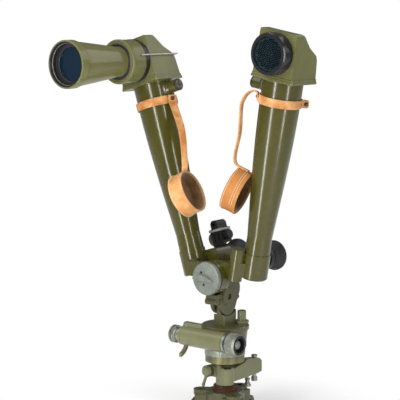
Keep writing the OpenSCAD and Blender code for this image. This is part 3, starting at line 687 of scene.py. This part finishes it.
def makeLensCap(side):
    place = capPlaces[side]
    bm = bmesh.new()
    outside, inside = capProfile()
    spinProfile(bm, outside + inside, capShape["steps"])
    bmesh.ops.remove_doubles(bm, verts=bm.verts, dist=0.01)
    liningRadius = capShape["radius"] - capShape["wall"] + 0.3
    for face in bm.faces:
        centre = face.calc_center_median()
        flat = math.hypot(centre.x, centre.y)
        lined = flat < liningRadius and centre.z > -capShape["depth"] + capShape["wall"] - 0.3
        if centre.z > -0.6 or (lined and centre.z > -capShape["paleRim"]):
            face.material_index = 2
        elif lined:
            face.material_index = 1
    for vert in bm.verts:
        bend = math.atan2(vert.co.y, vert.co.x)
        wave = capShape["squeeze"] * math.cos(2 * bend + place["seed"])
        squeeze = 1 + wave * (1 + vert.co.z / capShape["depth"])
        vert.co.x *= squeeze
        vert.co.y *= 2 - squeeze
    waver(bm, *capShape["waver"], place["seed"])
    reach = capShape["radius"] - 0.05
    for height, start, end in place["rows"]:
        count = int(math.radians(end - start) * reach / capShape["stitchPitch"])
        for i in range(count):
            degrees = start + (end - start) * i / count
            slant = rotated(capShape["slant"], "X")
            addStitch(bm, ringPlace(reach, height, degrees) @ slant, *capShape["stitch"], 3)
    return finishPiece(side + "LensCapLeather", bm, side + "_arm",
                       [side + "CapLeather", "capSuede", "cutLeather", "waxedThread"],
                       plumbFrame(side) @ shift(*place["mouth"])
                       @ rotated(place["turn"], "Z")
                       @ rotated(place["tip"], "Y"))


# leather straps: a flat strip run along the hanging line, sewn to the cap and riveted to the band

strapShape = {"width": 13.0, "thickness": 2.6, "stepsPerSpan": 5, "waver": (0.3, 0.05)}
strapLines = {
    "left": {"laid": 30.0, "twist": (0.0, 0.0), "curl": 0.35, "seed": 5.0, "taper": (1.05, 0.66),
             "line": [(0, 5), (0, -3), (1.5, -6), (6, -10), (18.5, -21), (35, -36), (41, -42.5),
                      (46, -50.6), (50, -59), (53, -69.5), (57, -88.6), (57.8, -98), (57.0, -106.5),
                      (55.2, -110.5)]},
    "right": {"laid": 16.0, "twist": (0.0, 14.0), "curl": 0.3, "seed": 11.0, "taper": (0.68, 0.56),
              "line": [(0, -6), (0, 3.5), (1, 5.8), (3.2, 7.2), (6, 7.9), (9, 7.6), (12.5, 6), (16.5, 3),
                       (20.5, -1.5), (24, -8), (25.9, -13), (27.4, -28.7), (28.1, -47.7), (30, -62.8),
                       (35, -83.3), (36.6, -93), (36.2, -99.5), (34.6, -103.8), (31.0, -106.9),
                       (13.8, -114.4)]},
}


def smoothLine(points, perSpan):
    line = []
    ends = [points[0]] + list(points) + [points[-1]]
    for i in range(1, len(ends) - 2):
        a, b, c, d = (Vector((x, y, 0)) for x, y in ends[i - 1:i + 3])
        for k in range(perSpan):
            t = k / perSpan
            bow = (2 * a - 5 * b + 4 * c - d) * t * t
            swing = (3 * b - a - 3 * c + d) * t ** 3
            line.append(0.5 * (2 * b + (c - a) * t + bow + swing))
    line.append(Vector((points[-1][0], points[-1][1], 0)))
    return line


def makeStrap(side):
    place = strapLines[side]
    stations = smoothLine(place["line"], strapShape["stepsPerSpan"])
    bm = bmesh.new()
    made = bmesh.ops.create_grid(bm, x_segments=3, y_segments=8, size=0.5)["verts"]
    bmesh.ops.scale(bm, vec=(strapShape["thickness"], strapShape["width"], 1), verts=made)
    # rounded long edges and a slight curl over the width
    for vert in made:
        outer = abs(vert.co.y) / (strapShape["width"] / 2)
        vert.co.x *= 1 - 0.3 * max(0.0, outer - 0.74) / 0.26
        vert.co.x += place["curl"] * outer * outer
    section = list(bm.faces)
    lastFrame = Matrix.Identity(4)
    total = len(stations) - 1
    for i, here in enumerate(stations):
        ahead = stations[min(i + 1, total)] - stations[max(i - 1, 0)]
        heading = math.atan2(ahead.y, ahead.x)
        middle = math.sin(math.pi * i / total)
        twist = math.radians(place["twist"][0] + place["twist"][1] * middle)
        narrowed = place["taper"][0] + (place["taper"][1] - place["taper"][0]) * i / total
        # the section's x runs across the thickness, its y across the width and its z along the line
        narrow = Matrix.Diagonal((1, narrowed, 1, 1))
        bent = Matrix.Rotation(heading, 4, "Z") @ Matrix.Rotation(twist, 4, "X")
        frameHere = shift(*here) @ bent @ acrossToAlong @ narrow
        if i:
            grown = bmesh.ops.extrude_face_region(bm, geom=section)["geom"]
            bmesh.ops.delete(bm, geom=section, context="FACES_ONLY")
            section = [item for item in grown if isinstance(item, bmesh.types.BMFace)]
        verts = list({v for face in section for v in face.verts})
        bmesh.ops.transform(bm, matrix=frameHere @ lastFrame.inverted(), verts=verts)
        if i == 0:
            bmesh.ops.reverse_faces(bm, faces=section)
            kept = bmesh.ops.duplicate(bm, geom=section)["geom"]
            section = [item for item in kept if isinstance(item, bmesh.types.BMFace)]
        lastFrame = frameHere
    bmesh.ops.remove_doubles(bm, verts=bm.verts, dist=0.001)
    waver(bm, *strapShape["waver"], place["seed"])
    laid = rotated(180 + place["laid"], "Z") @ rotated(90, "X")
    return finishPiece(side + "StrapLeather", bm, side + "_arm", ["strapLeather"],
                       plumbFrame(side) @ laid, angle=50.0)


# leather bands round the tubes, with a riveted end and a few stitches beside it

bandShape = {
    "inner": 30.9, "thickness": 2.5, "width": 13.0, "round": 0.7, "steps": 120, "tabTurn": 40.0,
    "tabLength": 12.5, "tabCorner": 3.6, "tabRim": 0.6, "stitch": (2.4, 0.7), "slant": 35,
    "waver": (0.22, 0.05), "seeds": {"left": 14.0, "right": 21.0},
    "stitches": [(-22.0, 3.2), (-22.0, -3.2), (-17.0, 3.4), (-17.0, -3.4), (-12.0, 0.0), (-27.0, 0.0)],
}


def makeBand(side):
    r, t, w, e = (bandShape[k] for k in ("inner", "thickness", "width", "round"))
    h = w / 2
    profile = [(r, -h + e), (r + e * 0.3, -h + e * 0.3), (r + e, -h), (r + t - e, -h),
               (r + t - e * 0.3, -h + e * 0.3), (r + t, -h + e), (r + t + 0.15, 0), (r + t, h - e),
               (r + t - e * 0.3, h - e * 0.3), (r + t - e, h), (r + e, h), (r + e * 0.3, h - e * 0.3),
               (r, h - e), (r, -h + e)]
    bm = bmesh.new()
    spinProfile(bm, profile, bandShape["steps"])
    bmesh.ops.remove_doubles(bm, verts=bm.verts, dist=0.01)
    waver(bm, *bandShape["waver"], bandShape["seeds"][side])
    tab = bmesh.ops.create_cube(bm, size=1.0)["verts"]
    reach = bandShape["tabLength"]
    bmesh.ops.scale(bm, vec=(reach, 2 * t, w - 0.8), verts=tab)
    bmesh.ops.translate(bm, vec=(r + reach / 2, 0, 0), verts=tab)
    outer = [v for v in tab if v.co.x > r + reach - 0.1]
    ends = {e for v in outer for e in v.link_edges}
    corners = [edge for edge in ends if abs(edge.verts[0].co.y - edge.verts[1].co.y) > 1]
    soften(bm, corners, bandShape["tabCorner"], 6)
    tabVerts = [v for v in bm.verts if math.hypot(v.co.x, v.co.y) > r + t + 1.4
                or (v.co.x > r + t and abs(v.co.y) <= t + 0.05)]
    rim = [edge for edge in bm.edges
           if all(v in tabVerts for v in edge.verts) and edge.calc_face_angle(0) > 0.9]
    soften(bm, rim, bandShape["tabRim"], 3)
    for degrees, height in bandShape["stitches"]:
        slant = rotated(bandShape["slant"] * (1 if height > 0 else -1), "X")
        addStitch(bm, ringPlace(r + t + 0.12, height, degrees) @ slant, *bandShape["stitch"], 1)
    toTab = Matrix.Rotation(math.radians(bandShape["tabTurn"]), 3, "Z")
    bmesh.ops.rotate(bm, verts=bm.verts, cent=(0, 0, 0), matrix=toTab)
    return finishPiece(side + "BandLeather", bm, side + "_arm",
                       ["strapLeather", "waxedThread"], bandFrame(side))


# rivets: a domed head with a washer edge, drawn along +Z

rivetShape = {
    "head": [(0.001, 1.9), (1.2, 1.75), (2.3, 1.2), (2.9, 0.5), (3.0, 0.2), (3.4, 0.1), (3.4, -0.4),
             (0.001, -0.4)],
    "steps": 32, "proud": 1.6, "tabReach": 39.0,
}


def makeRivets(side):
    bm = bmesh.new()
    outward = rotated(180 + strapLines[side]["laid"], "Z") @ rotated(90, "Y")
    spots = [plumbFrame(side) @ outward @ shift(0, 0, rivetShape["proud"])]
    tabPlace = bandFrame(side) @ rotated(bandShape["tabTurn"], "Z") @ shift(rivetShape["tabReach"], 0, 0)
    for end in (-1, 1):
        spots.append(tabPlace @ rotated(-90 * end, "X") @ shift(0, 0, bandShape["thickness"]))
    for spot in spots:
        before = set(bm.verts)
        spinProfile(bm, rivetShape["head"], rivetShape["steps"])
        bmesh.ops.transform(bm, matrix=spot, verts=[v for v in bm.verts if v not in before])
    bmesh.ops.remove_doubles(bm, verts=bm.verts, dist=0.000002)
    return finishPiece(side + "BandRivets", bm, side + "_arm", ["darkRivet"])


for side in ("left", "right"):
    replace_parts(makeLensCap(side), side + "_lens_cap")
    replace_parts(makeStrap(side), side + "_cap_strap")
    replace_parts(makeBand(side), side + "_band")
    makeRivets(side)
print("leather made")


# small turned fittings, drawn along +Z and laid where they belong

turnSteps = {"wide": 96, "ring": 64, "small": 48, "line": 32, "dot": 24, "screw": 20}


def standsAlong(direction):
    turns = {"+x": (90, "Y"), "-x": (-90, "Y"), "+y": (-90, "X"), "-y": (90, "X")}
    return rotated(*turns[direction])


def addTurned(bm, profile, steps, place=Matrix.Identity(4), material=0):
    before = set(bm.verts)
    spinProfile(bm, profile, steps, material)
    made = [v for v in bm.verts if v not in before]
    bmesh.ops.remove_doubles(bm, verts=made, dist=0.005)
    bmesh.ops.transform(bm, matrix=place, verts=[v for v in bm.verts if v not in before])


def addBlock(bm, size, place, material=0, rounding=0.0):
    made = bmesh.ops.create_cube(bm, size=1.0)["verts"]
    bmesh.ops.scale(bm, vec=size, verts=made)
    faces = {f for v in made for f in v.link_faces}
    if rounding:
        edges = list({e for v in made for e in v.link_edges})
        made = list({v for f in soften(bm, edges, rounding, 2)["faces"] for v in f.verts})
        faces = {f for v in made for f in v.link_faces}
    for face in faces:
        face.material_index = material
    bmesh.ops.transform(bm, matrix=place, verts=made)


def addScrew(bm, place, radius, height, material, slotMaterial):
    head = [(0.001, height), (radius * 0.55, height), (radius * 0.86, height * 0.8),
            (radius, height * 0.3), (radius, -0.2), (0.001, -0.2)]
    addTurned(bm, head, turnSteps["screw"], place, material)
    # the slot is a black bar on the head: painted shade in place of a cut slot
    addBlock(bm, (radius * 1.62, radius * 0.24, height * 0.7), place @ shift(0, 0, height * 0.68),
             slotMaterial)


# rubber eyecups, five folds flaring to a rolled rim

cupShape = {
    "steps": 84, "seat": (30.0, 62.3, 29.0), "bore": 14.2, "foot": 17.8, "rim": 23.95, "length": 21.7,
    "folds": 5, "foldDepth": 1.5, "foldStart": 2.2, "foldEnd": 18.4,
}


def cupProfile():
    c = cupShape
    bore, foot, rim, fold = (c[k] for k in ("bore", "foot", "rim", "foldDepth"))
    line = [(bore, 0.0), (foot, 0.0), (foot + 0.5, 0.5), (foot + 0.5, 1.6)]
    pitch = (c["foldEnd"] - c["foldStart"]) / c["folds"]
    for i in range(c["folds"]):
        z = c["foldStart"] + pitch * i
        r = foot + 0.6 + (rim - foot - 0.6) * (i + 1) / c["folds"]
        line += [(r - fold - 0.5, z), (r - fold * 0.35, z + pitch * 0.32),
                 (r, z + pitch * 0.58), (r - 0.15, z + pitch * 0.78), (r - 0.7, z + pitch * 0.94)]
    top = c["length"]
    line += [(rim - 0.9, c["foldEnd"] + 0.2), (rim - 0.2, top - 2.2),
             (rim - 0.35, top - 1.0), (rim - 1.1, top - 0.25), (rim - 2.0, top),
             (rim - 2.9, top - 0.3), (rim - 3.6, top - 1.2), (19.8, 18.4), (18.7, 15.0),
             (17.2, 10.5), (15.9, 7.2), (14.6, 5.2), (bore, 4.2), (bore, 0.0)]
    return line


def makeEyecup(side):
    bm = bmesh.new()
    addTurned(bm, cupProfile(), cupShape["steps"], armFrame(side) @ shift(*cupShape["seat"])
              @ standsAlong("+y"))
    return finishPiece(side + "EyecupRubber", bm, side + "_arm", ["eyeRubber"], angle=60.0)


# focus rings: white dioptre marks round the fixed lip, longer at the middle

markShape = {"seat": (30.0, 49.3, 29.0), "radius": 16.53, "count": 13, "pitch": 9.0,
             "tall": 1.7, "low": 1.1}


def makeFocusMarks(side):
    bm = bmesh.new()
    for i in range(markShape["count"]):
        degrees = 90 + (i - markShape["count"] // 2) * markShape["pitch"]
        size = (0.12, 0.4, markShape["low" if i % 3 else "tall"])
        addBlock(bm, size, rotated(-degrees, "Z") @ shift(markShape["radius"], 0, 1.0))
    return finishPiece(side + "FocusMarks", bm, side + "_focus", ["whiteFill"],
                       armFrame(side) @ shift(*markShape["seat"]) @ standsAlong("+y"))


# front tube: a black lining with a thread ring and a retaining ring before the lens

mouthShape = {"seat": (55.0, -185.0, 362.0)}


def makeTubeLining():
    bm = bmesh.new()
    lining = [(34.3, -0.5), (34.05, -0.2), (33.75, -0.5), (33.4, -4.3), (32.2, -4.6), (32.2, -5.8),
              (32.9, -6.2), (32.6, -12.6), (27.0, -13.2), (26.4, -13.7), (26.4, -15.6), (33.2, -15.6),
              (33.2, -13.4), (34.3, -0.5)]
    addTurned(bm, lining, turnSteps["wide"])
    threadRing = [(31.5, -5.0), (31.7, -4.6), (32.2, -4.4), (32.3, -5.2), (31.5, -5.2), (31.5, -5.0)]
    addTurned(bm, threadRing, turnSteps["wide"], material=1)
    return finishPiece("frontTubeLining", bm, "left_arm", ["cellBlack", "dullPlating"],
                       armFrame("left") @ shift(*mouthShape["seat"]) @ standsAlong("-y"))


# front attachment's collar: a black ring behind, a rolled lip in front and a black ring round the tube's
# root, painted shadow of the gap there

collarShape = {"seat": (55.0, -33.0, 362.0)}


def makeCollarRings():
    bm = bmesh.new()
    backRing = [(31.8, -2.6), (34.3, -2.6), (34.5, -0.2), (34.85, 0.1), (34.85, 6.4), (34.45, 6.8),
                (34.3, 6.8), (34.3, -0.3), (31.8, -0.3), (31.8, -2.6)]
    lip = [(34.3, 30.6), (34.55, 30.6), (35.15, 31.2), (35.2, 34.9), (34.5, 35.9), (33.6, 36.35),
           (31.6, 36.35), (31.0, 36.05), (31.0, 35.9), (34.3, 35.9), (34.3, 30.6)]
    # the ring round the tube's root is painted shadow: cell black laid where the gap between tube and
    # collar is in shade
    paintedShadowRing = [(24.7, 36.05), (28.9, 36.05), (28.9, 36.3), (27.4, 37.3), (24.7, 37.3), (24.7, 36.05)]
    addTurned(bm, backRing, turnSteps["wide"], Matrix.Identity(4))
    addTurned(bm, paintedShadowRing, turnSteps["wide"])
    addTurned(bm, lip, turnSteps["wide"], material=1)
    return finishPiece("frontCollarRings", bm, "left_arm", ["cellBlack", "satinOlive"],
                       armFrame("left") @ shift(*collarShape["seat"]) @ standsAlong("-y"))


# bracket socket: its mouth slopes a little towards the front, and its bore is lined black as painted shade

socketShape = {"seat": (17.0, -15.5, 84.0), "outer": 10.6, "bore": 7.25, "slope": 9.0,
               "facing": (0.636, -0.771)}


def makeSocketLip():
    bm = bmesh.new()
    outer, bore = socketShape["outer"], socketShape["bore"]
    lip = [(bore, -0.3), (outer, -0.3), (outer, 0.7), (outer - 0.5, 1.15), (bore + 0.4, 1.15), (bore, 0.8),
           (bore, -0.3)]
    addTurned(bm, lip, turnSteps["ring"])
    rise = math.tan(math.radians(socketShape["slope"]))
    towards = Vector((*socketShape["facing"], 0))
    for vert in bm.verts:
        if vert.co.z > 0:
            vert.co.z += (outer - vert.co.dot(towards)) * rise
    # the bore's black lining is painted shade in the hole
    lining = [(0.001, -14.9), (bore - 0.2, -14.9), (bore - 0.2, 0.3), (bore - 0.05, 0.3),
              (bore - 0.05, -15.2), (0.001, -15.2)]
    addTurned(bm, lining, turnSteps["small"], material=1)
    return finishPiece("bracketSocketLip", bm, "stand", ["mountEnamel", "blackFill"],
                       worldFrame @ shift(*socketShape["seat"]))


# arm clamp disc: spanner holes drawn as flat black discs, painted shade, and a ring of index marks

discShape = {"seat": (0.0, -39.3, 230.0), "holes": [(-8.0, 9.0), (-3.0, -10.0)], "holeSeat": 6.5,
             "marks": 24, "markSeat": (22.2, 0, 10.0), "long": 2.2, "short": 1.3}


def makeDiscDetail():
    bm = bmesh.new()
    # the spanner holes are black discs on the face: painted shade in place of cut holes
    for x, y in discShape["holes"]:
        addTurned(bm, [(0.001, 0.0), (1.95, 0.0), (1.95, -0.3), (0.001, -0.3)], turnSteps["screw"],
                  shift(x, y, discShape["holeSeat"]))
    for i in range(discShape["marks"]):
        turned = rotated(i * 360 / discShape["marks"], "Z")
        size = (discShape["short" if i % 6 else "long"], 0.3, 0.08)
        addBlock(bm, size, turned @ shift(*discShape["markSeat"]))
    return finishPiece("clampDiscMarks", bm, "arm_clamp", ["blackFill"],
                       worldFrame @ shift(*discShape["seat"]) @ standsAlong("-y"))


# azimuth scale: filled division lines and the numbers over every fourth one

scaleShape = {"radius": 32.0, "bottom": 104.0, "marks": 64, "lineLow": 1.6, "tall": 6.3, "low": 3.8,
              "numberSize": 2.6 / 0.72, "numberRelief": 0.05, "numberLow": 8.3}


def numberMesh(words):
    letters = bpy.data.curves.new("numeral", "FONT")
    letters.body = words
    letters.size = scaleShape["numberSize"]
    letters.align_x = "CENTER"
    letters.extrude = scaleShape["numberRelief"]
    letters.resolution_u = 2
    holder = bpy.data.objects.new("numeral", letters)
    bpy.context.scene.collection.objects.link(holder)
    bpy.context.view_layer.update()
    flat = bpy.data.meshes.new_from_object(holder.evaluated_get(bpy.context.evaluated_depsgraph_get()))
    bpy.data.objects.remove(holder)
    bpy.data.curves.remove(letters)
    return flat


def makeScaleMarks():
    bm = bmesh.new()
    for i in range(scaleShape["marks"]):
        turned = rotated(i * 360 / scaleShape["marks"], "Z")
        tall = scaleShape["low" if i % 4 else "tall"]
        middle = scaleShape["bottom"] + scaleShape["lineLow"] + tall / 2
        addBlock(bm, (0.5, 0.4, tall), turned @ shift(scaleShape["radius"] - 0.3, 0, middle))
        if i % 4 == 0:
            flat = numberMesh(str(i))
            before = set(bm.verts)
            bm.from_mesh(flat)
            bpy.data.meshes.remove(flat)
            height = scaleShape["bottom"] + scaleShape["numberLow"]
            place = turned @ shift(scaleShape["radius"] + 0.02, 0, height) @ acrossToAlong
            bmesh.ops.transform(bm, matrix=place, verts=[v for v in bm.verts if v not in before])
    return finishPiece("scaleMarks", bm, "stand", ["blackFill"], worldFrame)


# circular level: a rolled ring round the vial, a centre circle and the bubble

levelShape = {"seat": (13.0, 26.0, 169.0), "bubble": (0.4, -0.5)}


def makeLevelDetail():
    bm = bmesh.new()
    seat = shift(*levelShape["seat"])
    rolled = [(4.2, 0.6), (4.6, 1.1), (5.4, 1.3), (6.2, 1.1), (6.35, 0.6), (5.2, 0.5), (4.2, 0.6)]
    addTurned(bm, rolled, turnSteps["small"], seat)
    circle = [(2.0, 0.02), (2.0, 0.1), (2.2, 0.1), (2.2, 0.02), (2.0, 0.02)]
    addTurned(bm, circle, turnSteps["line"], seat, 1)
    bubble = [(0.001, 0.14), (0.9, 0.1), (1.4, 0.02), (0.001, 0.02)]
    addTurned(bm, bubble, turnSteps["dot"], seat @ shift(*levelShape["bubble"], 0), 2)
    return finishPiece("levelRing", bm, "turntable",
                       ["mountEnamel", "blackFill", "whiteFill"], worldFrame)


# lamp housing: a pale clamping plate under the barrel with four screws

lampShape = {"seat": (36.0, 56.0, 43.0), "plate": (25.6, 25.6, 3.9), "plateMiddle": 29.2, "screws": 9.4,
             "screwSeat": 31.5, "screw": (1.5, 0.9)}


def makeLampPlate():
    bm = bmesh.new()
    addBlock(bm, lampShape["plate"], shift(0, 0, lampShape["plateMiddle"]), 0, 0.5)
    for x in (-1, 1):
        for y in (-1, 1):
            spot = shift(x * lampShape["screws"], y * lampShape["screws"], lampShape["screwSeat"])
            addScrew(bm, spot @ Matrix.Rotation(0.5 * x + y, 4, "Z"), *lampShape["screw"], 1, 2)
    return finishPiece("lampPlate", bm, "left_arm",
                       ["platePaint", "dullPlating", "blackFill"],
                       armFrame("left") @ shift(*lampShape["seat"]))


# arm adjusters: a worn clamp ring by the tube and a dark end ring with a crossed recess drawn as black
# bars, painted shade

adjusterShape = {"height": 308.0, "clamp": (23.2, 28.0), "end": (4.0, 0, 0), "bar": (12.4, 2.2, 0.12),
                 "barTurns": (8, 98), "barSeat": (0, 0, 3.0)}


def makeAdjusterRings(side):
    bm = bmesh.new()
    low, high = adjusterShape["clamp"]
    clamp = [(10.9, low), (11.2, low), (11.45, low + 0.3), (11.45, high - 0.3), (11.2, high), (10.9, high),
             (10.9, low)]
    addTurned(bm, clamp, turnSteps["ring"], standsAlong("+x"))
    endRing = [(8.1, 0.0), (9.5, 0.0), (9.5, 2.5), (9.1, 3.1), (8.1, 3.1), (7.6, 3.2), (7.6, 2.9),
               (8.1, 0.0)]
    face = shift(*adjusterShape["end"]) @ standsAlong("-x")
    addTurned(bm, endRing, turnSteps["small"], face, 1)
    # the crossed recess is two black bars on the end face: painted shade in place of a cut recess
    for degrees in adjusterShape["barTurns"]:
        bar = rotated(degrees, "Z") @ shift(*adjusterShape["barSeat"])
        addBlock(bm, adjusterShape["bar"], face @ bar, 2)
    return finishPiece(side + "AdjusterRings", bm, side + "_arm",
                       ["dullPlating", "blackEnamel", "blackFill"],
                       armFrame(side) @ shift(0, 0, adjusterShape["height"]))


# traverse controls: black rings, a lined bore and a domed centre on the drum, dark rings on the knob

wormShape = {"drum": (35.3, -42.0, 133.0), "knob": (-45.3, -42.0, 133.0),
             "knobRings": [(11.1, 12.6), (14.15, 20.0)]}


def makeDrumDetail():
    bm = bmesh.new()
    drum = shift(*wormShape["drum"]) @ standsAlong("+x")
    neck = [(13.4, 5.2), (13.9, 5.4), (13.9, 6.4), (13.4, 6.6), (13.4, 5.2)]
    addTurned(bm, neck, turnSteps["ring"], drum, 1)
    mouth = [(12.2, 15.0), (12.2, 26.6), (12.6, 27.2), (14.9, 27.2), (15.4, 27.0), (15.2, 26.6),
             (12.7, 26.5), (12.5, 15.0), (12.2, 15.0)]
    addTurned(bm, mouth, turnSteps["ring"], drum, 1)
    dome = [(0.001, 25.4), (2.6, 25.1), (4.8, 24.3), (6.2, 23.2), (6.5, 22.8), (0.001, 22.8)]
    addTurned(bm, dome, turnSteps["small"], drum, 0)
    knob = shift(*wormShape["knob"]) @ standsAlong("-x")
    for r, z in wormShape["knobRings"]:
        ring = [(r - 0.5, z), (r, z + 0.1), (r, z + 1.1), (r - 0.5, z + 1.2), (r - 0.5, z)]
        addTurned(bm, ring, turnSteps["ring"], knob, 1)
    return finishPiece("wormFittings", bm, "worm", ["clampPlating", "blackEnamel"],
                       worldFrame)


# cover screws on the prism boxes and on the foot plates of the heads

screwPlaces = {
    "box": [(45.5, 44.0, 40.5), (16.6, 44.0, 40.5), (45.5, 44.0, 13.5), (16.6, 44.0, 13.5)],
    "head": [(-33.0, 29.5), (33.0, 29.5), (-33.0, -29.5), (33.0, -29.5)], "plateTop": 329.0,
    "boxScrew": (1.7, 0.28), "headScrew": (1.5, 0.5),
}


def makeCoverScrews(side):
    bm = bmesh.new()
    for i, spot in enumerate(screwPlaces["box"]):
        place = shift(*spot) @ standsAlong("+y")
        addScrew(bm, place @ Matrix.Rotation(0.9 * i, 4, "Z"), *screwPlaces["boxScrew"], 0, 1)
    for i, (x, y) in enumerate(screwPlaces["head"]):
        place = shift(armSetting["tube"] + x, y, screwPlaces["plateTop"])
        addScrew(bm, place @ Matrix.Rotation(1.1 * i, 4, "Z"), *screwPlaces["headScrew"], 0, 1)
    return finishPiece(side + "CoverScrews", bm, side + "_arm", ["glossyOlive", "blackFill"],
                       armFrame(side))


for side in ("left", "right"):
    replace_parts(makeEyecup(side), side + "_eyecup")
    makeFocusMarks(side)
    makeAdjusterRings(side)
    makeCoverScrews(side)
makeTubeLining()
makeDiscDetail()
makeScaleMarks()
makeLevelDetail()
makeLampPlate()
makeDrumDetail()
makeCollarRings()
makeSocketLip()
print("fittings made")
